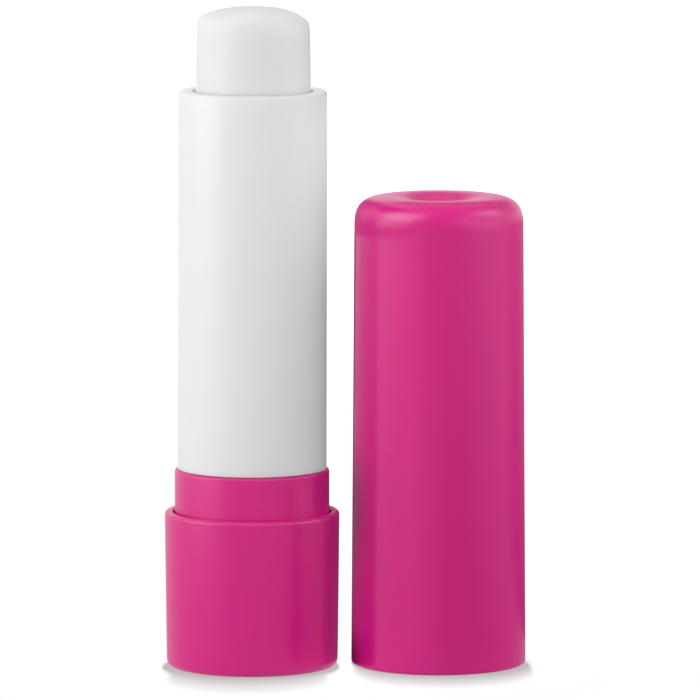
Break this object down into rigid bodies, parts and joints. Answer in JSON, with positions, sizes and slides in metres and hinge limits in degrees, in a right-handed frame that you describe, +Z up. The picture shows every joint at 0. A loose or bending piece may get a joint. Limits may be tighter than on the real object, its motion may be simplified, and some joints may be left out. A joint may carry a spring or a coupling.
{
  "type": "lip balm stick",
  "caption": "Twist-up lip balm stick standing open: base cup, collar, tube, screw spindle, carrier and domed balm, with its cap taken off and stood beside it.",
  "frame": {"origin": "centre of the stick's flat foot, on the surface that it stands on", "axes": "+Z up the stick's axis towards the balm, +X towards the cap that stands beside it"},
  "size_m": [0.0393, 0.0208, 0.0718],
  "materials": {
    "pink_plastic": "satin moulded",
    "white_plastic": "satin moulded",
    "natural_plastic": "plain moulded",
    "wax": "soft waxy"
  },
  "bodies": {
    "base": {"base_cup": "pink_plastic", "collar": "pink_plastic", "spindle": "natural_plastic"},
    "barrel": {"barrel": "white_plastic"},
    "carrier": {"carrier": "natural_plastic", "balm": "wax"},
    "cap": {"cap": "pink_plastic"}
  },
  "joints": [
    {"name": "barrel_turn", "type": "hinge", "parent": "base", "child": "barrel", "pos_m": [0, 0, 0.0216], "axis": [0, 0, 1], "range_deg": [-918, 2880]},
    {"name": "carrier_rise", "type": "slide", "parent": "barrel", "child": "carrier", "axis": [0, 0, 1], "range_m": [-0.0102, 0.032]},
    {"name": "cap_lift", "type": "slide", "parent": "base", "child": "cap", "axis": [0, 0, 1], "range_m": [0, 0.075]}
  ],
  "couplings": [
    {"joint": "carrier_rise", "follows": "barrel_turn", "m_per_rad": 0.00063662}
  ]
}
